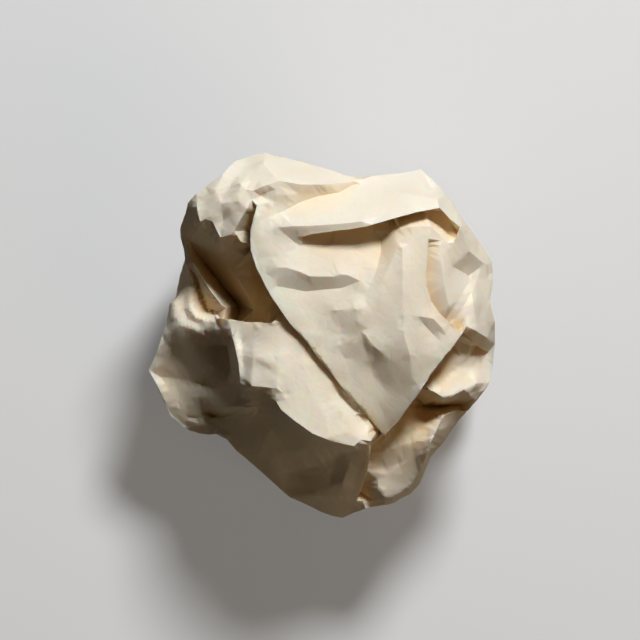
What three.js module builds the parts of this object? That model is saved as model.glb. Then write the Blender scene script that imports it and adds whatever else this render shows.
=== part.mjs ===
// A sheet of cream writing paper, crumpled into a loose ball that lies on a table.
// Millimetres, +Z up. The origin is on the table, under the middle of the ball.
//
// The ball is drawn by the lines that the paper shows: its outline from above, its free
// edges and its creases. A net of triangles is laid along those lines, and the paper
// between them is drawn taut, as a film is between wires.

import * as THREE from 'three';
import { ConvexHull } from 'three/addons/math/ConvexHull.js';

// Driving dimensions
const ballWidth = 64;
const ballDepth = 67.7;
const ballHeight = 51;
const lineStep = 1.1;           // spacing of the net along a line on the upper side
const upperStep = 1.5;          // spacing of the net on the panels there
const lowerStep = 2.3;          // spacing of the net below the outline
const restRadius = 13;          // the facet that the ball lies on
const restCorners = 7;
const restShare = 0.8;          // where the facet begins, from 0 at the outline to 1 at the bottom
const lowerFullness = 0.7;      // how full the ball is below its outline: less is fuller
const lowerJunctions = 64;      // crease junctions on the sides and the underside
const outlineStride = 3;        // of the outline's points, each third one is a junction too
const lowerCreaseDepth = 3.4;   // how far those junctions lie in or out
const crumpleSeed = 11;
const sideLimit = 0.985;        // how far out the sides may come, as a share of the outline
const tableClearance = 1;       // of everything but the facet that the ball lies on
const paperColour = 0xe9dcc3;

// The size that the lines below are drawn at. Their points are placed in proportion to the ball's.
const drawnWidth = 64;
const drawnDepth = 67.7;
const drawnHeight = 48;

// The net is laid out on a unit sphere, where these distances are measured.
const mergeGap = 0.019;         // points of two lines that are closer than this are one
const lipGap = 0.028;           // room for each row of points under a free edge
const upperClearance = 0.042;   // from a line to the nearest free point of the net
const lowerClearance = 0.045;
const foldClearance = 0.13;     // from a fold on the sides to the creases round it
const filmSweeps = 600;

// The outline seen from above, clockwise from the crown: x, y and the height of the paper there.
const outline = [
  [-10.7, 33.8, 32], [-4, 32, 34], [0, 30.9, 36], [3.5, 29.6, 37], [7.4, 28.7, 37.5], [9.6, 29.5, 36],
  [13, 29.9, 34], [18.2, 30.6, 31], [20, 29, 33], [24, 24.7, 33], [25.2, 22.5, 35], [28.5, 18, 32],
  [31.2, 13.6, 28], [31.4, 10, 30], [31, 6, 32], [31.8, 2.5, 30], [31.9, -1.5, 26], [31.6, -5.5, 25],
  [31, -8.7, 28.5], [30.2, -10, 29.4], [28.6, -12, 29], [25.5, -15.5, 26], [22.5, -19.8, 25],
  [20.3, -22.2, 26], [18, -27.5, 22], [16.4, -29.3, 21], [12.5, -31.2, 22], [8, -32, 23],
  [5.2, -33.5, 20], [3.7, -33.9, 19], [0, -32.8, 20], [-6, -30, 22], [-12, -24.5, 24],
  [-16, -21.3, 25], [-18.2, -18.6, 25.5], [-19.5, -18.2, 24], [-22, -18.5, 20], [-24.5, -17.7, 19],
  [-28, -15, 20], [-30.5, -9.5, 22.8], [-32.1, -6.5, 23.5], [-30.3, -2.5, 25.5], [-28.5, 3, 27],
  [-28.1, 6, 27], [-26, 8, 27], [-24, 9.6, 28], [-24.8, 12, 28], [-25.7, 16.5, 28],
  [-26.5, 18.7, 29], [-24.6, 24.4, 36.5], [-23, 26.2, 38.5], [-18, 30, 38.5], [-16, 32, 35],
  [-14, 32.9, 33],
];

// Edges that stand clear of the paper below, which is on the left of the line: x, y, height, how
// far down that paper lies, and how far it runs back under the edge.
const freeEdges = [
  { // the sheet's corner, which lies across the front of the ball
    thickness: 1.2,
    line: [
      [19.5, 18.6, 45.2, 0, 0], [19.4, 16, 45.1, 1.4, 0.4], [19.1, 12, 44.8, 1.9, 0.8],
      [19.2, 9, 44.4, 1.7, 1.4], [20.2, 6.2, 43.6, 1.8, 2],
      [21.6, 4.1, 42.8, 1.6, 2], [23.5, 2.3, 41.6, 1.1, 1.2], [25.7, 0.3, 40.3, 2.8, 0.3],
      [24, -2, 41, 7.6, 2], [22, -4.5, 41.8, 5, 4],
      [18, -10, 41.6, 11, 4], [14.3, -15.4, 38.4, 8.6, 2.2], [11.5, -18.6, 36.5, 6.4, 0.2],
      [9.8, -16.6, 38, 2.9, 0.8],
      [8.2, -14.7, 39.2, 2.2, 1.4], [6, -12.1, 40.7, 1.8, 2], [3.8, -9.6, 41.9, 1.4, 1.8],
      [0, -5, 42.9, 0.95, 3], [-3, -1.2, 43.2, 0.95, 3], [-6.2, 2.6, 43.4, 1.1, 3],
      [-7.6, 4.5, 43.6, 9, 3], [-9.4, 7.3, 43.6, 12, 3], [-12, 12.3, 43.7, 12, 3],
      [-13, 15.6, 43.8, 3.4, 0.6], [-13.1, 17.2, 44, 10, 1.2],
      [-13, 19.5, 44.2, 11, 1.5], [-12.4, 22, 44.7, 7, 1], [-11.9, 23.8, 44.5, 0, 0],
    ],
  },
  { // the fold that crosses the top, and the rim on its right
    thickness: 3,
    line: [
      [23.6, 16.2, 42.6, 0, 0], [24.6, 17.9, 42.6, 1.4, 0], [25.3, 19.9, 42.8, 2, 0],
      [23.3, 21.3, 44.2, 2.6, 0],
      [21.4, 23.3, 45, 3.2, 0.2], [17, 22.5, 46.5, 4.8, 0.2], [13, 21.4, 47.5, 5.8, 0.2],
      [8, 20, 47.8, 5.4, 1.5],
      [4.6, 19.4, 47.4, 4.4, 1.6], [1, 19, 46.7, 3.2, 1.6], [-2.4, 18.6, 45.8, 2.2, 1.6],
      [-3.8, 18.2, 45.2, 1.3, 1], [-4.6, 18.2, 44.9, 0, 0],
    ],
  },
  { // the lip of the pocket on the left
    thickness: 3,
    line: [
      [-19.2, 3.3, 36, 0, 0], [-17, 3.1, 37.4, 5, 1.5], [-15, 2.7, 38.8, 11, 2], [-12, 2.6, 40.4, 11, 2],
      [-10.4, 2.4, 41.3, 7, 1.5], [-9.2, 2.4, 41.8, 0, 0],
    ],
  },
  { // the rim's lower edge on the right
    thickness: 1.6,
    line: [
      [30.8, -2.9, 26.6, 0, 0], [29.6, -2.5, 30, 3, 0.3], [28.5, -1.9, 33, 5, 0.3],
      [27.7, -1.3, 34.8, 0, 0],
    ],
  },
  { // the middle lobe's edge, which lies on the right lobe and leaves a hole at its foot
    thickness: 1.4,
    line: [
      [8.3, -18, 38.3, 0, 0], [8.9, -19.4, 38.4, 7.6, 0.3], [9, -21, 36.4, 7, 0.3],
      [8.7, -23, 33.8, 5.2, 0.2], [8.3, -25, 31.6, 3.4, 0], [7.6, -27, 29.2, 4, 0],
      [6.9, -29.2, 26.4, 5, 0], [6.4, -30.6, 24.6, 0, 0],
    ],
  },
];

// Ridges and valleys: x, y and height.
const creases = [
  // crown, on the upper left
  [[-23, 26.2, 38.5], [-23, 23.6, 40.4], [-22.4, 20.9, 40.8]],
  [[-24.6, 24.4, 36.5], [-22.4, 20.9, 40.8], [-20.6, 21.8, 41.8], [-19.7, 19.9, 41.4], [-18.7, 18, 41.2],
    [-16.8, 18.5, 42.2], [-16.2, 19.1, 42.6]],
  [[-16.2, 19.1, 42.6], [-15, 17.2, 41.4], [-14.4, 16, 40.8]],
  [[-16.2, 19.1, 42.6], [-15.1, 21.2, 43.4], [-13.8, 23.2, 44.2]],
  [[-14.7, 19.2, 33.5], [-14.5, 20.3, 34]],
  [[-20.6, 21.8, 41.8], [-18.6, 24.2, 42.6], [-15.4, 24.5, 44], [-13.8, 23.2, 44.2]],
  [[-18.7, 18, 41.2], [-18.2, 21, 41.6], [-18.6, 24.2, 42.6]],
  [[-18.2, 21, 41.6], [-16.4, 21.6, 42.8], [-15.4, 24.5, 44]],
  [[-18.6, 24.2, 42.6], [-19.6, 26.8, 41.4], [-18, 30, 38.5]],
  [[-15.4, 24.5, 44], [-15, 27.9, 43.2], [-13.6, 26, 43.8], [-15.4, 24.5, 44]],
  [[-12.9, 24.8, 44], [-11.4, 25.5, 43.6], [-10, 26.2, 43.8]],
  [[-13.6, 26, 43.8], [-11, 27.2, 44.6], [-8, 28.3, 44.6]],
  [[-10.7, 33.8, 32], [-10.8, 31.4, 38.5], [-8, 28.3, 44.6]],
  [[-8, 28.3, 44.6], [-8.6, 25.9, 44.4], [-6.5, 25.6, 44]],
  // rim along the top, and the valley behind the fold
  [[-8, 28.3, 44.6], [-4, 27.6, 44], [0, 27.6, 43], [4, 28, 40], [7.4, 28.7, 37.5]],
  [[-10, 21.6, 44], [-7, 22.8, 43.2], [-4, 24.4, 42.4], [-1, 25.4, 41.6], [3, 26.2, 40],
    [7.4, 28.7, 37.5]],
  // right shoulder
  [[9.6, 29.5, 36], [11.5, 27.6, 38], [15, 25.8, 42], [18.3, 25.4, 42.8], [21, 25, 43.2]],
  [[18.2, 30.6, 31], [18.3, 25.4, 42.8]],
  [[18.2, 30.6, 31], [20, 27.2, 35], [21, 25, 43.2]],
  // pocket: its wall, its deep valley, the rib on its left, and the trough beside the rib
  [[-26.5, 18.7, 29], [-24, 17.3, 30], [-20, 15.2, 31.5], [-16.8, 12.8, 32], [-15, 9.6, 31.5],
    [-13.4, 6.4, 30.5], [-12.6, 4.8, 29.5]],
  [[-23.6, 15.6, 26.5], [-21, 12.2, 24.5], [-18.4, 8.8, 23], [-15.2, 4.9, 22]],
  [[-25.7, 16.5, 28], [-23.2, 12.6, 30.5], [-20.9, 8.6, 32.6], [-18.6, 5.6, 34], [-16.8, 4.4, 34]],
  [[-23.3, 10.4, 27], [-22.3, 7.6, 27], [-21.4, 5, 27], [-19.8, 4.4, 29]],
  // nested rims on the left
  [[-26, 8, 27], [-27.3, 6, 28.6], [-27.2, 3.6, 29.6], [-26, 1.8, 30.6], [-23.6, 1, 31.6], [-21.8, 0, 32],
    [-20.4, 1.2, 34], [-19.2, 3.3, 36]],
  [[-25.4, 7.4, 28.2], [-25.6, 5, 29.4], [-24.8, 2.9, 30.2], [-22.6, 2, 31.4]],
  [[-24.2, 8, 29], [-24.2, 5, 31.2], [-23.2, 3.5, 31.8], [-20.8, 2.9, 33]],
  // left lobe: the foot of the rims, its tilted panel, and its lower rim
  [[-28.5, 3, 27], [-28, 0.4, 28], [-26.4, -0.8, 28.4], [-23.6, -1.3, 29.4], [-21, -1.8, 30],
    [-19, -1.8, 30.6], [-17.6, -2, 31.4]],
  [[-20.4, 0.4, 33.4], [-18.6, -0.2, 34.6], [-16.6, -0.2, 38.4]],
  [[-28, 0.4, 28], [-28, -3.2, 25.4], [-30, -7.8, 22.2]],
  [[-28, -3.2, 25.4], [-25, -6.2, 24.7]],
  [[-30, -7.8, 22.2], [-27, -7.9, 22.9], [-22, -9.2, 23.9]],
  [[-27, -7.9, 22.9], [-26.8, -13.2, 21.4]],
  [[-28, -15, 20], [-26.8, -13.2, 21.4], [-24.6, -15.1, 20.6], [-23.4, -15.4, 20.9], [-22, -13.7, 22.6],
    [-20.2, -13.2, 26.4], [-18.2, -13.3, 30], [-16.2, -13.1, 33.4], [-14, -13.3, 35.6],
    [-12, -14.3, 34.6]],
  [[-20, -14.9, 22], [-17.4, -15.2, 27.6], [-14.4, -15.6, 31.4]],
  [[-22, -9.2, 23.9], [-20.4, -9.6, 25.4], [-18.6, -9.7, 28.4], [-17, -9.6, 31.4], [-15.6, -9.7, 34.6]],
  // step between the left lobe and the middle one
  [[-17, 3.1, 37.4], [-16.6, 0.3, 38.6], [-16, -2.5, 39.8], [-15.3, -5.3, 39.8], [-14.9, -9, 39],
    [-13.6, -11.6, 37.2], [-12, -11.9, 38], [-9, -11.3, 40.8]],
  [[-17.6, -2, 31.4], [-17.2, -4, 31.2], [-16.8, -6.4, 31], [-17.4, -8, 30.6]],
    // middle lobe
  [[-9, -11.3, 40.8], [-7.6, -13.6, 41], [-5, -15.7, 41.2], [-1.8, -18, 40.9], [1.5, -19.3, 40.4],
    [5.8, -20.3, 39.4], [8.3, -18, 38.3]],
  [[-14.9, -9, 39], [-13, -9.3, 40.8], [-8.3, -9.7, 42], [-9, -11.3, 40.8]],
  [[-12.6, 0.5, 40.5], [-12.6, -4, 41.7], [-13, -9.3, 40.8]],
  [[-8, -4, 42.4], [-8.3, -9.7, 42]],
  [[-8, -4, 42.4], [-4.4, -7, 42], [-1.6, -11, 41.6], [0.6, -15, 41.1], [1.5, -19.3, 40.4]],
  [[6.4, -30.6, 24.6], [5.2, -33.5, 20]],
  [[7, -21, 37], [3, -21.6, 35.6], [0, -23.6, 32.4], [-3, -24.8, 29.8], [-8, -26, 25.6], [-12, -24.5, 24]],
  [[-3, -24.8, 29.8], [-6.6, -20.6, 32], [-12, -14.3, 34.6]],
  [[6.9, -29.2, 26.4], [3, -29.7, 26.8], [-1, -29.6, 26], [-6, -30, 22]],
  // right lower lobe
  [[25.5, -15.5, 26], [24.6, -13.9, 29], [22.2, -15, 33], [21, -17.4, 34], [20, -19.4, 33.6],
    [19.4, -21.6, 32.2], [18.4, -24.8, 29.2], [16, -28, 27.2], [13.2, -29.8, 26.3], [11.4, -30, 26.4],
    [10.4, -28.6, 27.2], [10.2, -26.6, 27.6]],
  [[6.4, -30.6, 24.6], [9.4, -30.6, 22.6], [12.5, -31.2, 22]],
  [[19.4, -21.6, 32.2], [17, -22.4, 30], [14, -23.6, 28.3], [11.2, -24.4, 27.8]],
  // fold under the rim on the right
  [[19.8, -10, 37.5], [21, -10.6, 37.2], [22.3, -11.4, 36], [23.8, -11.2, 35.4], [26, -10, 34],
    [26.9, -10.5, 33], [27.3, -11.2, 32], [28.6, -12, 29]],
  [[26, -10, 34], [28.4, -8.9, 33], [31, -8.7, 28.5]],
  [[18.6, -13, 27.4], [22, -13.2, 26], [25, -12.9, 25]],
  [[25.6, -4.2, 34], [28, -4.2, 31.4], [30.2, -4.4, 27.6]],
  [[24.6, 2.4, 41.4], [26.4, 1.7, 40.4], [28.4, 0.8, 38], [30.2, -0.4, 33.6], [31.9, -1.2, 26.4]],
  // tube at the right of the sheet's corner, and the valley between it and the rim
  [[12.6, 18.9, 44], [14.2, 19.5, 44.8], [16, 19.9, 45.2], [19.8, 19.9, 45],
    [21.6, 18.3, 43.8], [23.6, 16.2, 42.6]],
  [[17.6, 21.2, 41.6], [19.8, 21.3, 41.8], [22, 19.8, 41.6], [23.5, 18.2, 41.2]],
  [[12.6, 18.9, 44], [13.8, 17, 45.2], [13, 14.4, 45.6], [11.2, 10.5, 45.8], [9.4, 7, 45.7],
    [7.8, 4.5, 45.4], [6.6, 1.7, 45.1]],
  [[10.6, 17.6, 42.4], [10.7, 15.6, 43.2], [10, 12.4, 44.5], [9, 9.6, 45], [7.6, 7, 45]],
  [[19.8, 19.9, 45], [19.5, 18.6, 45.2]],
  [[21.6, 18.3, 43.8], [21.7, 13.5, 44.1], [22.4, 9, 43.8], [23.2, 5.4, 42.8]],
  // sheet's corner: the dent across it, the ridge below the slit, and the star of creases in its middle
  [[-10.4, 11.4, 43.8], [-8.4, 12.4, 44.6], [-6.6, 12.4, 44.9], [-4, 11.6, 45.2], [-2.4, 10.8, 45.2],
    [2, 10.7, 45.4], [3, 11.2, 45.6], [4.6, 11, 45.5], [6.8, 10, 45.2]],
  [[-8.2, 9, 43.2], [-3, 8, 43.3], [3.5, 8.6, 44.1], [6.8, 10, 45.2]],
  [[-8.2, 19.8, 44.7], [-6.3, 18, 44.3], [-4.4, 16.4, 43.9], [-2, 16.7, 43.8], [1, 16.6, 43.6]],
  [[-8.2, 19.8, 44.7], [-4.6, 18.2, 44.9]],
  [[-8.2, 19.8, 44.7], [-5.4, 20, 45.6], [-2.6, 20, 46.3], [1, 20.2, 47.1], [4.6, 20.5, 47.7],
    [7, 20.9, 48]],
  [[-4.4, 16.4, 43.9], [-6.6, 12.4, 44.9]],
  [[2.3, 4.5, 44.7], [6, 4.8, 45.5], [7.8, 4.5, 45.4]],
  [[2.3, 4.5, 44.7], [3.4, 1.3, 44], [6.6, 1.7, 45.1], [6, 4.8, 45.5]],
  [[6.6, 1.7, 45.1], [5.3, -1.4, 43.9], [4.1, -4.3, 42.5], [8.4, -4, 42.6], [6.6, 1.7, 45.1]],
  [[3.4, 1.3, 44], [2.6, -2, 43.4], [4.1, -4.3, 42.5], [5.4, -7.6, 41.8]],
  [[8.4, -4, 42.6], [9.4, -7.4, 41.3], [12, -10.4, 40.5], [15.2, -11, 40.5]],
  [[6.6, 1.7, 45.1], [9.2, -1.8, 44.2], [11.6, -3.8, 43.6], [16.4, -8, 42.2]],
  [[14.8, 4.4, 45.6], [14.9, 0, 45], [16, -3.5, 44.1], [16.4, -8, 42.2]],
  [[17.5, 3.5, 44.6], [20.4, 3, 43.8], [21.8, 1.5, 42.8], [20.3, 0.2, 42.3], [18.7, 1.8, 43.2],
    [17.5, 3.5, 44.6]],
  [[14.6, 16, 46], [14.7, 12, 46.4], [14.7, 8, 46.2], [14.8, 4.4, 45.6]],
  // right side
  [[23.9, 12.8, 41.4], [27, 15.6, 40], [30, 13.2, 33], [31.2, 13.6, 28]],
  [[23.9, 12.8, 41.4], [27, 11, 36.6], [30, 13.2, 33]],
  [[25.3, 19.9, 42.8], [27, 15.6, 40]],
  [[28.5, 18, 32], [27, 15.6, 40]],
  [[27, 11, 36.6], [27.6, 6, 39], [28.4, 0.8, 38]],
];

// Folds on the sides, with the paper below on the left of the line: the turn from +X in degrees,
// the share of the way from the outline to the bottom, how far out, how far down, how far back.
const sideFolds = [
  { // at the back
    thickness: 2,
    line: [[118, 0.14, 0.5, 0, 0], [104, 0.22, 1.5, 3.5, 0.4], [88, 0.36, 2, 5, 0.6], [70, 0.3, 2, 4, 0.4],
      [54, 0.36, 0, 0, 0]],
  },
  { // at the left
    thickness: 2,
    line: [[196, 0.18, 0.5, 0, 0], [184, 0.26, 2, 3.5, 0.4], [168, 0.3, 2, 4, 0.4], [152, 0.42, 0, 0, 0]],
  },
  { // at the front
    thickness: 2,
    line: [[284, 0.4, 0, 0, 0], [266, 0.3, 2, 4.5, 0.4], [250, 0.34, 2, 3.5, 0.4], [232, 0.22, 0, 0, 0]],
  },
  { // at the right
    thickness: 2,
    line: [[372, 0.2, 0.5, 0, 0], [354, 0.32, 2, 4.5, 0.4], [338, 0.3, 2, 3.5, 0.4], [322, 0.4, 0, 0, 0]],
  },
];

// Random numbers from 0 to 1 that are the same at every build.
function randomSource(seed) {
  let state = seed;
  return () => {
    state = (state + 0x6d2b79f5) | 0;
    let mixed = Math.imul(state ^ (state >>> 15), 1 | state);
    mixed = (mixed + Math.imul(mixed ^ (mixed >>> 7), 61 | mixed)) ^ mixed;
    return ((mixed ^ (mixed >>> 14)) >>> 0) / 2 ** 32;
  };
}

function inProportion(x, y, z) {
  const shares = [ballWidth / drawnWidth, ballDepth / drawnDepth, ballHeight / drawnHeight];
  return new THREE.Vector3(x * shares[0], y * shares[1], z * shares[2]);
}

function onSphere(polar, angle) {
  const radius = Math.sin(polar);
  return new THREE.Vector3(radius * Math.cos(angle), radius * Math.sin(angle), Math.cos(polar));
}

// Where the outline lies in a direction from the ball's middle: its distance, and its height.
function outlineAt(angle) {
  const dx = Math.cos(angle);
  const dy = Math.sin(angle);
  for (let i = 0; i < outline.length; i++) {
    const [ax, ay, az] = outline[i];
    const [bx, by, bz] = outline[(i + 1) % outline.length];
    const along = (ay * dx - ax * dy) / ((ay - by) * dx - (ax - bx) * dy);
    const reach = (ax + (bx - ax) * along) * dx + (ay + (by - ay) * along) * dy;
    if (along >= 0 && along <= 1 && reach > 0) return { reach, height: az + (bz - az) * along };
  }
  throw new Error('the outline is not closed round the middle');
}

// A point above the outline: the plan is the upper half of the sphere, and the outline its equator.
function upperPoint([x, y, height, depth = 0, tuck = 0]) {
  const angle = Math.atan2(y, x);
  const edge = outlineAt(angle);
  return {
    direction: onSphere((Math.hypot(x, y) / edge.reach) * (Math.PI / 2), angle),
    place: inProportion(x, y, height ?? edge.height),
    up: new THREE.Vector3(0, 0, 1),
    depth,
    tuck,
  };
}

// A point below the outline, on the plain shape that the ball has there or out from it.
function lowerPoint([turn, share, outward, depth = 0, tuck = 0]) {
  const angle = THREE.MathUtils.degToRad(turn);
  const { reach, height } = outlineAt(angle);
  const plan = reach * Math.cos((share * Math.PI) / 2) ** lowerFullness;
  const level = height * (1 - Math.sin((Math.min(1, share / restShare) * Math.PI) / 2));
  const out = new THREE.Vector3(Math.cos(angle), Math.sin(angle), 0);
  const up = out.clone().multiplyScalar(1 - share).setZ(-share).normalize();
  const radius = Math.min(sideLimit * reach, plan + outward * Math.hypot(up.x, up.y));
  const rise = Math.max(tableClearance, level + outward * up.z);
  return {
    direction: onSphere((1 + share) * (Math.PI / 2), angle),
    place: inProportion(radius * out.x, radius * out.y, rise),
    up,
    depth,
    tuck,
  };
}

// The net's points. One on a line has its place; a free one gets it from its neighbours.
const net = [];

function nearLine(direction, distance) {
  return net.some((point) => point.fixed && point.direction.distanceTo(direction) < distance);
}

function addFixed(direction, place) {
  if (!nearLine(direction, mergeGap)) net.push({ direction, place, fixed: true });
}

function addFree(direction, clearance) {
  if (!nearLine(direction, clearance)) net.push({ direction, place: new THREE.Vector3(), fixed: false });
}

// Points along a line of straight stretches, at most one step apart.
function stations(line, step, pointAt) {
  const found = [];
  line.slice(1).forEach((end, i) => {
    const start = line[i];
    const length = pointAt(start).place.setZ(0).distanceTo(pointAt(end).place.setZ(0));
    const count = Math.max(1, Math.ceil(length / step));
    for (let k = 0; k < count; k++) found.push(start.map((v, axis) => v + ((end[axis] - v) * k) / count));
  });
  return [...found, line.at(-1)].map(pointAt);
}

// The unit vector to the left of a line at one of its stations, lengthened in a corner.
function leftOf(points, i, key, up) {
  const sides = [[i - 1, i], [i, i + 1]].filter(([from, to]) => points[from] && points[to]);
  const normals = sides.map(([from, to]) => {
    const along = points[to][key].clone().sub(points[from][key]);
    return up.clone().cross(along).normalize();
  });
  const middle = normals.reduce((sum, normal) => sum.add(normal), new THREE.Vector3()).normalize();
  return middle.divideScalar(Math.max(0.6, middle.dot(normals[0])));
}

// A free edge: the edge itself, the row under it where its underside ends, and the row where
// the paper below comes out.
function layFreeEdge(points, thickness) {
  points.forEach(({ direction, place }) => addFixed(direction, place));
  points.forEach(({ direction, place, up, depth, tuck }, i) => {
    const open = Math.min(1, depth / 2);
    if (open < 0.45) return;
    const netLeft = leftOf(points, i, 'direction', direction);
    const back = leftOf(points, i, 'place', up).multiplyScalar(-tuck);
    const under = Math.min(thickness, 0.6 * depth);
    [under, depth].forEach((drop, row) => {
      const shifted = direction.clone().addScaledVector(netLeft, lipGap * (row + 1) * open).normalize();
      addFixed(shifted, place.clone().add(back).addScaledVector(up, -drop));
    });
  });
}

function layCrease(line) {
  stations(line, lineStep, upperPoint).forEach(({ direction, place }) => addFixed(direction, place));
}

// Free points in an even pattern over the panels above the outline.
function layUpperPanels() {
  const rowHeight = (upperStep * Math.sqrt(3)) / 2;
  const reach = Math.max(...outline.map(([x, y]) => Math.hypot(x, y)));
  const rows = Math.ceil(reach / rowHeight);
  for (let row = -rows; row <= rows; row++) {
    const y = row * rowHeight;
    for (let x = -reach + (row % 2 ? upperStep / 2 : 0); x <= reach; x += upperStep) {
      const inside = Math.hypot(x, y) < outlineAt(Math.atan2(y, x)).reach;
      if (inside) addFree(upperPoint([x, y, 0]).direction, upperClearance);
    }
  }
}

// Turns and shares spread evenly below the outline.
function lowerSpread(count) {
  const goldenTurn = 180 * (3 - Math.sqrt(5));
  const shareAt = (i) => (Math.asin((i + 0.5) / count) * 2) / Math.PI;
  return Array.from({ length: count }, (_, i) => [i * goldenTurn, shareAt(i)]);
}

// The faces of the net: those of the hull round its points on the sphere.
function triangulate(directions) {
  const numbers = new Map(directions.map((direction, i) => [direction, i]));
  return new ConvexHull().setFromPoints(directions).faces.map((face) => {
    const corners = [];
    let edge = face.edge;
    do {
      corners.push(numbers.get(edge.head().point));
      edge = edge.next;
    } while (edge !== face.edge);
    return corners;
  });
}

// The flat facet that the ball lies on, and junctions of creases that lie in or out at random.
function lowerCreaseJunctions() {
  const random = randomSource(crumpleSeed);
  const rest = Array.from({ length: restCorners }, (_, i) => {
    const corner = lowerPoint([((i + 0.5 * random()) / restCorners) * 360, restShare, 0]);
    corner.place.setZ(0).setLength(restRadius * (0.85 + 0.3 * random()));
    return corner;
  });
  const others = lowerSpread(lowerJunctions).map(([turn, share]) => lowerPoint([
    turn + 16 * (random() - 0.5),
    share + 0.12 * (random() - 0.5),
    lowerCreaseDepth * (2 * random() - 1.2),
  ]));
  const below = others.filter(({ direction }) => {
    const share = Math.acos(direction.z) / (Math.PI / 2) - 1;
    return share > 0.12 && share < restShare - 0.08 && !nearLine(direction, foldClearance);
  });
  const above = outline.filter((_, i) => i % outlineStride === 0);
  const edge = above.map((point) => ({ ...upperPoint(point), onOutline: true }));
  return [...rest, ...below, ...edge];
}

// The sides and the underside: straight creases from junction to junction, and free points between.
function layUnderside() {
  const crown = { direction: new THREE.Vector3(0, 0, 1), onOutline: true };
  const junctions = [...lowerCreaseJunctions(), crown];
  const folds = net.filter(({ fixed, direction }) => fixed && direction.z < -0.1);
  const room = foldClearance / 2;
  const nearFold = (direction) => folds.some((fold) => fold.direction.distanceTo(direction) < room);
  triangulate(junctions.map(({ direction }) => direction)).forEach((face) => face.forEach((from, k) => {
    const [a, b] = [junctions[from], junctions[face[(k + 1) % 3]]];
    if (a.onOutline && b.onOutline) return;
    const count = Math.max(1, Math.ceil(a.place.distanceTo(b.place) / lowerStep));
    for (let n = 0; n <= count; n++) {
      const direction = a.direction.clone().lerp(b.direction, n / count).normalize();
      if (!nearFold(direction)) addFixed(direction, a.place.clone().lerp(b.place, n / count));
    }
  }));
  const area = 2 * Math.PI * (ballWidth / 2) ** 2;
  lowerSpread(Math.round(area / ((Math.sqrt(3) / 2) * lowerStep ** 2))).forEach(([turn, share]) => {
    if (share < restShare - 0.03) addFree(lowerPoint([turn, share, 0]).direction, lowerClearance);
  });
}

// Draws the free points taut between the lines: each comes to the weighted mean of its
// neighbours, with the weights that keep a flat panel flat.
function drawTaut(faces) {
  const weights = net.map(() => new Map());
  faces.forEach((face) => face.forEach((corner, k) => {
    const [a, b] = [face[(k + 1) % 3], face[(k + 2) % 3]];
    const toA = net[a].direction.clone().sub(net[corner].direction);
    const toB = net[b].direction.clone().sub(net[corner].direction);
    const cotangent = toA.dot(toB) / toA.clone().cross(toB).length();
    weights[a].set(b, (weights[a].get(b) ?? 0) + cotangent);
    weights[b].set(a, (weights[b].get(a) ?? 0) + cotangent);
  }));
  const free = net.flatMap((point, i) => (point.fixed ? [] : [i]));
  free.forEach((i) => net[i].place.copy(net[i].direction).multiplyScalar(ballWidth / 2));
  for (let sweep = 0; sweep < filmSweeps; sweep++) {
    free.forEach((i) => {
      const mean = new THREE.Vector3();
      let total = 0;
      weights[i].forEach((weight, neighbour) => {
        const pull = Math.max(weight, 1e-4);
        mean.addScaledVector(net[neighbour].place, pull);
        total += pull;
      });
      net[i].place.copy(mean.divideScalar(total));
    });
  }
}

function crumpledSheet() {
  layCrease([...outline, outline[0]]);
  freeEdges.forEach(({ line, thickness }) => layFreeEdge(stations(line, lineStep, upperPoint), thickness));
  creases.forEach(layCrease);
  sideFolds.forEach(({ line, thickness }) => layFreeEdge(stations(line, lineStep, lowerPoint), thickness));
  layUpperPanels();
  layUnderside();
  const faces = triangulate(net.map(({ direction }) => direction));
  drawTaut(faces);
  const geometry = new THREE.BufferGeometry().setFromPoints(net.map(({ place }) => place));
  geometry.setIndex(faces.flat());
  geometry.computeBoundingBox();
  const middle = geometry.boundingBox.getCenter(new THREE.Vector3()).setZ(geometry.boundingBox.min.z);
  geometry.translate(-middle.x, -middle.y, -middle.z);
  geometry.computeVertexNormals();
  const paper = { color: paperColour, roughness: 0.85, metalness: 0, flatShading: true };
  const mesh = new THREE.Mesh(geometry, new THREE.MeshStandardMaterial(paper));
  mesh.name = 'crumpled_sheet';
  return mesh;
}

const note = new THREE.Group();
note.add(crumpledSheet());
export default note;
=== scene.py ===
import math

import bmesh
import bpy
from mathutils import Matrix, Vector
from mathutils.bvhtree import BVHTree


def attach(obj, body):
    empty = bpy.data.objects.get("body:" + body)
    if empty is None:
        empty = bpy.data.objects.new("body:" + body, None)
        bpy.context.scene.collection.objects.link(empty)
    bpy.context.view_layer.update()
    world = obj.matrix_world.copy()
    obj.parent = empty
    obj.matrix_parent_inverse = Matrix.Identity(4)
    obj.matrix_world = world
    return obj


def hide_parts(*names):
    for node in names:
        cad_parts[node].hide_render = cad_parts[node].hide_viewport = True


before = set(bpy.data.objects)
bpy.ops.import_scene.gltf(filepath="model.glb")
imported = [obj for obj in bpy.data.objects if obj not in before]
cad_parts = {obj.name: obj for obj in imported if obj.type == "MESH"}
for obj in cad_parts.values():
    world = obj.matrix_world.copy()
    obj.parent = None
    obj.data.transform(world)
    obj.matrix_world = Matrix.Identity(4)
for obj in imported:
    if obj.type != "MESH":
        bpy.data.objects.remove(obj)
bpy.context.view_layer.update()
scene = bpy.context.scene
scene.view_settings.view_transform = "Standard"
mm = 0.001
print("frame loaded")


# Mesh helpers

def onlySelect(piece):
    bpy.ops.object.select_all(action="DESELECT")
    piece.select_set(True)
    bpy.context.view_layer.objects.active = piece


def applyModifier(piece, kind, **settings):
    onlySelect(piece)
    modifier = piece.modifiers.new(kind.lower(), kind)
    for name, value in settings.items():
        setattr(modifier, name, value)
    bpy.ops.object.modifier_apply(modifier=modifier.name)


# Shader helpers

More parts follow.
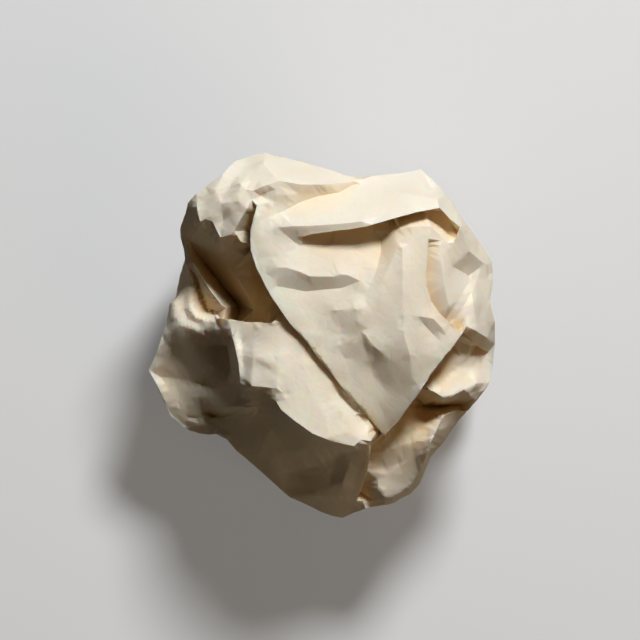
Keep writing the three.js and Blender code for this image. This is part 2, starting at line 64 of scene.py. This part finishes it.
class Socket:
    def __init__(self, tree, socket=None):
        self.tree = tree
        self.socket = socket

    def node(self, kind, settings=None, sockets=None, output=0):
        made = self.tree.nodes.new("ShaderNode" + kind)
        for name, value in (settings or {}).items():
            setattr(made, name, value)
        for place, value in (sockets or {}).items():
            feed(self.tree, made.inputs[place], value)
        return Socket(self.tree, made.outputs[output])

    def maths(self, operation, *values):
        return self.node("Math", {"operation": operation}, dict(enumerate(values)))

    def __add__(self, other):
        return self.maths("ADD", self, other)

    def __radd__(self, other):
        return self.maths("ADD", other, self)

    def __sub__(self, other):
        return self.maths("SUBTRACT", self, other)

    def __rsub__(self, other):
        return self.maths("SUBTRACT", other, self)

    def __mul__(self, other):
        return self.maths("MULTIPLY", self, other)

    def __rmul__(self, other):
        return self.maths("MULTIPLY", other, self)


def feed(tree, place, value):
    if isinstance(value, Socket):
        tree.links.new(value.socket, place)
    else:
        place.default_value = value


mixPlaces = (0, 6, 7)         # where a Mix node takes its factor and two colours
mixResult = 2                 # and where it gives the colour


def mixColour(nodes, factor, *colours):
    values = [colour if isinstance(colour, Socket) else (*colour, 1) for colour in colours]
    sockets = dict(zip(mixPlaces, (factor, *values)))
    return nodes.node("Mix", {"data_type": "RGBA"}, sockets, mixResult)


def freshMaterial(name):
    material = bpy.data.materials.new(name)
    material.use_nodes = True
    return material, material.node_tree, material.node_tree.nodes["Principled BSDF"]


# The crumpled sheet

paperSheet = {
    "weld": 0.002,            # mm
    "foldStart": 2,           # degrees between two faces: a crease begins to hold
    "foldFull": 10,           # and holds in full
    "wearStart": 20,          # degrees: a ridge begins to be worn
    "wearFull": 80,           # and is worn most
    "areaCore": 0.6,          # share of an area's reach that has its value in full
    "rounded": [              # x, y, reach in mm, share of that hold: folds that are rolled, not creased
        (-24, 4, 7, 0.3), (-26, -11, 7, 0.5), (15, -25, 9, 0.5), (26, -8, 6, 0.5),
    ],
    "roundings": 2,           # levels of subdivision
    "facets": [               # cell, depth in mm: the flat patches between small creases
        (9, 0.8), (5.2, 0.34), (3.2, 0.14),
    ],
    "stretch": {"X": 1.13, "Y": 0.91, "Z": 1},   # of the cells, so that the three axes don't agree
    "patchMiddle": 0.2,       # value of a patch that stays where it is
    "panels": [               # x, y, reach in mm, share of those patches: panels that stayed calm or didn't
        (2, 12, 15, 0.35), (13, 8, 14, 0.35), (10, -8, 9, 0.4), (8, 24, 9, 0.4), (-3, -12, 10, 0.6),
        (-17, 22, 9, 1.4), (15, -25, 9, 0.4), (8, -17.5, 5, 0.1),
    ],
    "panelFloor": 22,         # mm, they are on the paper above this height
    "panelFacing": 0.3,       # and face up by this much at least
    "sides": (26, 16, 1.9),   # mm, mm, share: from one height down to the other the patches grow deeper
    "sag": (11, 0.25),        # cell, depth in mm: the slow bend of a panel
    "sagMiddle": 0.5,         # value of the sag that moves nothing
    "soften": 0.2,
    "smoothAngle": 14,        # degrees
}

cornerTip = {                 # the free tip of the sheet's corner, which hangs a little lower
    "hinge": (6, -4),         # mm
    "toward": (0.35, -0.94),
    "slope": 0.14,
    "bend": 1.5,              # mm, the slope comes in over this length
    "edges": [((-6.2, 2.6), (11.5, -18.6)), ((11.7, -18.75), (25.9, 0.15))],
    "margin": 0.15,           # mm, what is this far outside the edges still belongs to them
    "above": 33,              # mm, the height over which the tip is looked for
    "underside": 0.7,         # share of the drop, for what lies under the tip
}

foldDrawing = {
    "fade": 0.3,              # share of a small fold's length over which it dies out
    "facing": (0.2, 0.7),     # paper that faces up less than the first stays, and more than the second moves
}

# Small folds of the paper that is seen from above: rise in mm, how far the paper falls away on the left of
# the line and on its right, and the line's points, x and y. A valley has a rise below 0.
smallFolds = [
    # star of creases
    (0.20, 2.5, 1.2, [(5.6, 5.1), (6.4, 5.4), (7.9, 4.5)]),
    (0.22, 1.6, 1.2, [(8.2, 5.0), (7.6, 4.0), (6.6, 1.4)]),
    (0.22, 0.7, 3.0, [(8.0, 0.6), (8.5, -2.5), (8.9, -6.0)]),
    (0.28, 3.0, 1.4, [(7.2, 1.2), (9.0, -1.7), (11.8, -3.9)]),
    (-0.25, 2.5, 3.0, [(8.7, -4.2), (10.4, -8.0), (12.2, -11.6)]),
    (-0.15, 0.7, 0.7, [(3.1, -1.6), (3.9, -0.6)]),
    # sheet's corner, and its raised edge
    (-0.20, 1.0, 1.0, [(14.5, 3.8), (14.8, 0.8)]),
    (-0.20, 0.5, 0.5, [(21.4, 3.2), (24.6, 0.6)]),
    (0.50, 6.0, 0.6, [(-6.0, 3.1), (-3.0, -0.7), (0.0, -4.5), (3.5, -8.7)]),
    # middle lobe: its rim, the groove beside the corner, the valley on its left, and creases
    (1.50, 11.0, 3.0, [
        (-10.5, -9.8), (-7.6, -13.6), (-5.0, -15.7), (-1.8, -18.0), (1.5, -19.3), (6.0, -20.3),
    ]),
    (-1.50, 0.8, 2.0, [(1.7, -8.3), (5.3, -12.6), (8.3, -16.2), (10.2, -18.5)]),
    (-0.80, 5.0, 1.0, [(-14.9, 1.8), (-14.6, -4.0), (-14.0, -9.0)]),
    (0.25, 2.0, 0.9, [(-12.6, -4.1), (-10.6, -4.6), (-8.7, -6.0)]),
    (0.25, 1.0, 0.8, [(-12.6, 1.5), (-11.0, 1.7)]),
    (-0.20, 0.7, 0.7, [(-7.2, -11.1), (-6.0, -10.3)]),
    (0.12, 1.5, 1.5, [(-4.2, -5.8), (-2.8, -4.2)]),
    # left lobe
    (0.50, 1.5, 1.5, [(-19.6, -11.2), (-17.5, -9.4), (-15.4, -9.3)]),
    (0.40, 0.8, 1.0, [(-13.0, -13.8), (-10.6, -14.8)]),
    (-0.30, 0.5, 0.5, [(-21.8, 1.0), (-21.0, -0.6)]),
    (-0.40, 0.5, 0.5, [(-19.4, 3.0), (-19.0, 1.0)]),
    # crown
    (0.35, 1.2, 1.5, [(-20.1, 20.5), (-18.6, 22.8), (-15.6, 24.4)]),
    (0.30, 1.2, 1.5, [(-19.4, 25.0), (-18.0, 24.1), (-16.0, 25.8), (-15.0, 27.9)]),
    (-0.35, 0.8, 0.8, [(-13.2, 24.8), (-12.0, 24.7), (-10.0, 26.2)]),
    (0.30, 1.2, 0.7, [(-10.3, 24.5), (-8.9, 23.3)]),
    (-0.15, 0.6, 0.6, [(-9.5, 20.6), (-8.4, 21.0)]),
    # right side, and the rim of the lower right lobe
    (-0.20, 1.5, 1.5, [(23.4, 12.6), (23.6, 7.0)]),
    (1.20, 2.0, 7.0, [(10.5, -22.0), (14.0, -20.3), (18.0, -19.3), (20.5, -18.5)]),
    (-0.40, 0.8, 0.8, [(22.6, -8.2), (24.6, -5.9)]),
    # flank below the middle lobe
    (-2.20, 4.0, 4.5, [(-9.5, -26.0), (-4.0, -25.2), (0.0, -23.8), (4.0, -21.8), (7.0, -20.8)]),
    (0.80, 4.5, 4.5, [(-8.5, -15.5), (-11.0, -20.0), (-12.5, -24.0)]),
    (1.50, 2.0, 2.5, [(5.5, -22.5), (4.2, -26.0), (3.5, -29.5)]),
]

openLook = {                  # how open the paper is to the air around it, which sets the painted shade in its pockets
    "rays": 48,
    "reach": 26,              # mm
    "lift": 0.15,             # mm off the paper, where a look begins
}

up = Vector((0, 0, 1))


def weldedCopy(node, name):
    piece = bpy.data.objects.new(name, node.data.copy())
    scene.collection.objects.link(piece)
    piece.data.materials.clear()
    onlySelect(piece)
    bpy.ops.object.mode_set(mode="EDIT")
    bpy.ops.mesh.select_all(action="SELECT")
    bpy.ops.mesh.remove_doubles(threshold=paperSheet["weld"] * mm)
    bpy.ops.object.mode_set(mode="OBJECT")
    return piece


def ease(value, low, high):
    share = min(max((value - low) / (high - low), 0), 1)
    return share * share * (3 - 2 * share)


def areaShare(place, areas, share):
    # a value over the round areas, seen from above, that have one of their own
    for x, y, reach, level in areas:
        away = math.hypot(place.x / mm - x, place.y / mm - y)
        share += (level - share) * (1 - ease(away, paperSheet["areaCore"] * reach, reach))
    return share


def hemisphere(count):
    golden = math.pi * (3 - math.sqrt(5))
    points = []
    for k in range(count):
        height = math.sqrt((k + 0.5) / count)
        radius = math.sqrt(1 - height * height)
        points.append((radius * math.cos(golden * k), radius * math.sin(golden * k), height))
    return points


def openShare(tree, point, normal, directions):
    side = normal.orthogonal().normalized()
    across = normal.cross(side)
    start = point + normal * openLook["lift"] * mm
    free = 0
    for x, y, z in directions:
        hit = tree.ray_cast(start, side * x + across * y + normal * z, openLook["reach"] * mm)
        free += hit[0] is None
    return free / len(directions)


def isCovered(tree, point):
    return tree.ray_cast(point + up * openLook["lift"] * mm, up)[0] is not None


def markFolds(piece):
    # crease weights for the rounding, and what the material reads: worn folds, and how open each point is,
    # which sets the painted shade in deep pockets
    work = bmesh.new()
    work.from_mesh(piece.data)
    work.normal_update()
    crease = work.edges.layers.float.new("crease_edge")
    worn = work.verts.layers.float.new("worn")
    opened = work.verts.layers.float.new("opened")
    for edge in work.edges:
        if len(edge.link_faces) != 2:
            continue
        turn = math.degrees(edge.calc_face_angle_signed(0))
        middle = (edge.verts[0].co + edge.verts[1].co) / 2
        edge[crease] = areaShare(middle, paperSheet["rounded"], 1)
        edge[crease] *= ease(abs(turn), paperSheet["foldStart"], paperSheet["foldFull"])
        for corner in edge.verts:
            wear = ease(turn, paperSheet["wearStart"], paperSheet["wearFull"])
            corner[worn] = max(corner[worn], wear)
    tree = BVHTree.FromBMesh(work)
    directions = hemisphere(openLook["rays"])
    for corner in work.verts:
        corner[opened] = openShare(tree, corner.co, corner.normal, directions)
    work.to_mesh(piece.data)
    work.free()


def inside(point, start, end):
    # how far a point is on the left of a line, in mm
    run, rise = end[0] - start[0], end[1] - start[1]
    return (run * (point.y - start[1]) - rise * (point.x - start[0])) / math.hypot(run, rise)


def hangTip(piece):
    work = bmesh.new()
    work.from_mesh(piece.data)
    tree = BVHTree.FromBMesh(work)
    toward = Vector(cornerTip["toward"]).normalized()
    drops = {}
    for corner in work.verts:
        point = corner.co / mm
        if point.z < cornerTip["above"]:
            continue
        if min(inside(point, *edge) for edge in cornerTip["edges"]) < -cornerTip["margin"]:
            continue
        away = (point.xy - Vector(cornerTip["hinge"])).dot(toward)
        if away > 0:
            share = cornerTip["underside"] if isCovered(tree, corner.co) else 1
            drops[corner] = share * cornerTip["slope"] * away * away / (away + cornerTip["bend"])
    for corner, drop in drops.items():
        corner.co.z -= drop * mm
    work.to_mesh(piece.data)
    work.free()
    print("tip hung:", len(drops), "points")


def patchTexture(name, cell):
    # the difference of two squared distances is flat in each patch, with a straight crease between
    texture = bpy.data.textures.new(name, "VORONOI")
    texture.distance_metric = "DISTANCE_SQUARED"
    texture.weight_1 = -1
    texture.weight_2 = 1
    texture.noise_scale = cell * mm
    texture.noise_intensity = 1
    texture.use_clamp = False
    return texture


def patchShare(corner):
    high, low, deepest = paperSheet["sides"]
    share = 1 + (deepest - 1) * (1 - ease(corner.co.z / mm, low, high))
    if corner.normal.z < paperSheet["panelFacing"] or corner.co.z < paperSheet["panelFloor"] * mm:
        return share
    return areaShare(corner.co, paperSheet["panels"], share)


def groupByFacing(piece):
    # how much each point faces along an axis, so that a small crease moves it out of its own panel
    strongest = paperSheet["sides"][2]
    groups = [piece.vertex_groups.new(name="facing" + axis) for axis in "XYZ"]
    for corner in piece.data.vertices:
        share = patchShare(corner) / strongest
        for k, group in enumerate(groups):
            group.add([corner.index], share * corner.normal[k] ** 2, "REPLACE")
    return strongest


def foldHeight(point, rise, left, right, line):
    # height of one small fold over a point: a ridge between two slopes, which dies out at its ends
    height = 0
    whole = sum(math.dist(a, b) for a, b in zip(line, line[1:]))
    passed = 0
    for (ax, ay), (bx, by) in zip(line, line[1:]):
        length = math.hypot(bx - ax, by - ay)
        ux, uy = (bx - ax) / length, (by - ay) / length
        along = min(max((point.x - ax) * ux + (point.y - ay) * uy, 0), length)
        away = math.hypot(point.x - ax - ux * along, point.y - ay - uy * along)
        side = left if ux * (point.y - ay) > uy * (point.x - ax) else right
        place = (passed + along) / whole
        taper = ease(min(place, 1 - place), 0, foldDrawing["fade"])
        height = max(height, (1 - away / side) * taper)
        passed += length
    return rise * height


def drawFolds(piece):
    # each small fold moves the points that are seen from above
    least, full = foldDrawing["facing"]
    work = bmesh.new()
    work.from_mesh(piece.data)
    tree = BVHTree.FromBMesh(work)
    moves = {}
    for rise, left, right, line in smallFolds:
        reach = max(left, right)
        lowX, highX = min(x for x, y in line) - reach, max(x for x, y in line) + reach
        lowY, highY = min(y for x, y in line) - reach, max(y for x, y in line) + reach
        for corner in work.verts:
            point = corner.co / mm
            if lowX < point.x < highX and lowY < point.y < highY and corner.normal.z > least:
                height = foldHeight(point, rise, left, right, line) * ease(corner.normal.z, least, full)
                if height and not isCovered(tree, corner.co):
                    moves[corner.index] = moves.get(corner.index, 0) + height
    work.verts.ensure_lookup_table()
    for index, height in moves.items():
        work.verts[index].co.z += height * mm
    work.to_mesh(piece.data)
    work.free()
    print("small folds drawn:", len(moves), "points")


def layFlat(piece):
    # nothing of the sheet is below the table
    for corner in piece.data.vertices:
        corner.co.z = max(corner.co.z, 0)


def crumpleFinely(piece):
    strongest = groupByFacing(piece)
    for k, (cell, depth) in enumerate(paperSheet["facets"]):
        for axis, stretch in paperSheet["stretch"].items():
            texture = patchTexture(f"patch{k}{axis}", cell * stretch)
            applyModifier(piece, "DISPLACE", texture=texture, texture_coords="LOCAL", direction=axis,
                          vertex_group="facing" + axis, strength=depth * strongest * mm,
                          mid_level=paperSheet["patchMiddle"])
    cell, depth = paperSheet["sag"]
    texture = bpy.data.textures.new("sag", "CLOUDS")
    texture.cloud_type = "COLOR"
    texture.noise_scale = cell * mm
    texture.noise_depth = 1
    applyModifier(piece, "DISPLACE", texture=texture, texture_coords="LOCAL", direction="RGB_TO_XYZ",
                  strength=depth * mm, mid_level=paperSheet["sagMiddle"])


sheet = weldedCopy(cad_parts["crumpled_sheet"], "crumpledSheet")
print("sheet welded:", len(sheet.data.polygons), "faces")
hangTip(sheet)
markFolds(sheet)
print("folds marked")
applyModifier(sheet, "SUBSURF", levels=paperSheet["roundings"], render_levels=paperSheet["roundings"])
crumpleFinely(sheet)
drawFolds(sheet)
applyModifier(sheet, "SMOOTH", factor=paperSheet["soften"], iterations=1)
layFlat(sheet)
onlySelect(sheet)
bpy.ops.object.shade_smooth_by_angle(angle=math.radians(paperSheet["smoothAngle"]))
print("sheet crumpled:", len(sheet.data.polygons), "faces")


# Cream paper

creamPaper = {
    "cream": (0.85, 0.765, 0.615),
    "creamPale": (0.88, 0.81, 0.685),
    # painted shade: a warm brown that the paper turns to where it is closed in, in place of shadow and warm
    # bounced light in pockets
    "pocket": (0.80, 0.58, 0.30),
    "foldWhite": (0.90, 0.85, 0.75),
    "fibre": (0.70, 0.60, 0.45),
    "mottle": {"Scale": 90, "Detail": 4},
    "mottleRange": {"From Min": 0.3, "From Max": 0.7},
    "pocketRange": {"From Min": 0.97, "From Max": 0.40, "To Min": 0, "To Max": 0.9},   # of what is open: how far the painted pocket shade goes in
    "wornShare": 0.35,
    "grain": {"Scale": 2600, "Detail": 3},
    "grainShare": 0.12,
    "grainHeight": 0.02,      # mm
    "wrinkles": {"Scale": 420},
    "wrinkleRange": {"From Min": 0, "From Max": 0.12},
    "wrinkleHeight": 0.03,    # mm
    "bump": {"Strength": 0.35, "Distance": 1 * mm},
    "roughness": 0.72,
    "roughGrain": 0.2,
}

paperShader = {
    "Specular IOR Level": 0.25,
    "Subsurface Weight": 0.4,
    "Subsurface Radius": (1, 0.45, 0.15),
    "Subsurface Scale": 1.6 * mm,
}


def paperMaterial():
    material, tree, shader = freshMaterial("creamPaper")
    nodes = Socket(tree)
    place = nodes.node("TexCoord", output="Object")
    opened = nodes.node("Attribute", {"attribute_name": "opened"}, output="Fac")
    worn = nodes.node("Attribute", {"attribute_name": "worn"}, output="Fac")
    mottle = nodes.node("TexNoise", sockets={"Vector": place, **creamPaper["mottle"]})
    grain = nodes.node("TexNoise", sockets={"Vector": place, **creamPaper["grain"]})
    wrinkles = nodes.node("TexVoronoi", {"feature": "DISTANCE_TO_EDGE"},
                          {"Vector": place, **creamPaper["wrinkles"]})
    shade = nodes.node("MapRange", sockets={"Value": mottle, **creamPaper["mottleRange"]})
    # painted shade: the less open the paper, the more it turns to the warm pocket brown, standing in for
    # shadow and bounced light
    depth = nodes.node("MapRange", sockets={"Value": opened, **creamPaper["pocketRange"]})
    ridge = nodes.node("MapRange", sockets={"Value": wrinkles, **creamPaper["wrinkleRange"]})
    paper = mixColour(nodes, shade, creamPaper["cream"], creamPaper["creamPale"])
    paper = mixColour(nodes, depth, paper, creamPaper["pocket"])
    paper = mixColour(nodes, worn * creamPaper["wornShare"], paper, creamPaper["foldWhite"])
    paper = mixColour(nodes, grain * creamPaper["grainShare"], paper, creamPaper["fibre"])
    height = grain * creamPaper["grainHeight"] + ridge * creamPaper["wrinkleHeight"]
    bump = nodes.node("Bump", sockets={"Height": height, **creamPaper["bump"]})
    feed(tree, shader.inputs["Base Color"], paper)
    feed(tree, shader.inputs["Roughness"], creamPaper["roughness"] + grain * creamPaper["roughGrain"])
    feed(tree, shader.inputs["Normal"], bump)
    for name, value in paperShader.items():
        shader.inputs[name].default_value = value
    return material


sheet.data.materials.append(paperMaterial())
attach(sheet, "root")
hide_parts("crumpled_sheet")
print("sheet finished")


# Floor, light and camera

studio = {
    "floorSide": 6,                       # m
    "floorSeen": (0.62, 0.62, 0.62),
    "floorGlow": (0.14, 0.14, 0.14),      # of the background alone, so that the shadow stays pale
    "floorUnseen": (0, 0, 0),
    "floorBounce": (0.20, 0.165, 0.125),
    "floorShader": {"Emission Strength": 1, "Roughness": 0.9, "Specular IOR Level": 0.1},
    "fill": 0.021,                        # strength of the light from all around
    "fillColour": (1, 0.74, 0.44),
    "softKey": {
        "comesFrom": (0.25, 0.64, 0.73), "distance": 0.9, "size": 0.22, "power": 8.3,
        "colour": (0.97, 0.985, 1),
    },
    "softFill": {
        "comesFrom": (0.62, -0.50, 0.60), "distance": 1.2, "size": 0.7, "power": 1.4,
        "colour": (1, 0.76, 0.50),
    },
}

view = {
    "aimAt": (-0.37, 2.85, 24),           # mm, the middle of the picture
    "distance": 2000,                     # mm
    "frameWidth": 118.5,                  # mm across the picture, at the height that it aims at
    "sensor": 36,                         # mm
    "nearest": 0.05,                      # m
    "farthest": 20,
}


def layFloor():
    bpy.ops.object.select_all(action="DESELECT")
    bpy.ops.mesh.primitive_plane_add(size=studio["floorSide"], location=(0, 0, 0))
    floor = bpy.context.object
    floor.name = "floor"
    material, tree, shader = freshMaterial("paleFloor")
    nodes = Socket(tree)
    seen = nodes.node("LightPath", output="Is Camera Ray")
    for ray in ("Is Glossy Ray", "Is Transmission Ray"):
        seen = seen + nodes.node("LightPath", output=ray)
    colour = mixColour(nodes, seen, studio["floorBounce"], studio["floorSeen"])
    glow = mixColour(nodes, seen, studio["floorUnseen"], studio["floorGlow"])
    feed(tree, shader.inputs["Base Color"], colour)
    feed(tree, shader.inputs["Emission Color"], glow)
    for name, value in studio["floorShader"].items():
        shader.inputs[name].default_value = value
    floor.data.materials.append(material)


def hangLamp(name, comesFrom, distance, size, power, colour):
    direction = Vector(comesFrom).normalized()
    lamp = bpy.data.lights.new(name, "AREA")
    lamp.shape = "DISK"
    lamp.size = size
    lamp.energy = power
    lamp.color = colour
    hung = bpy.data.objects.new(name, lamp)
    hung.location = direction * distance
    hung.rotation_euler = direction.to_track_quat("Z", "Y").to_euler()
    scene.collection.objects.link(hung)


def hangLights():
    for name in ("softKey", "softFill"):
        hangLamp(name, **studio[name])
    world = bpy.data.worlds.new("fill")
    world.use_nodes = True
    background = world.node_tree.nodes["Background"]
    background.inputs["Color"].default_value = (*studio["fillColour"], 1)
    background.inputs["Strength"].default_value = studio["fill"]
    scene.world = world


def setCamera():
    lens = bpy.data.cameras.new("photoView")
    lens.sensor_width = view["sensor"]
    lens.lens = view["sensor"] * view["distance"] / view["frameWidth"]
    lens.clip_start = view["nearest"]
    lens.clip_end = view["farthest"]
    camera = bpy.data.objects.new("photoView", lens)
    camera.location = (Vector(view["aimAt"]) + Vector((0, 0, view["distance"]))) * mm
    scene.collection.objects.link(camera)
    scene.camera = camera


layFloor()
hangLights()
setCamera()
print("floor, lights and camera set")
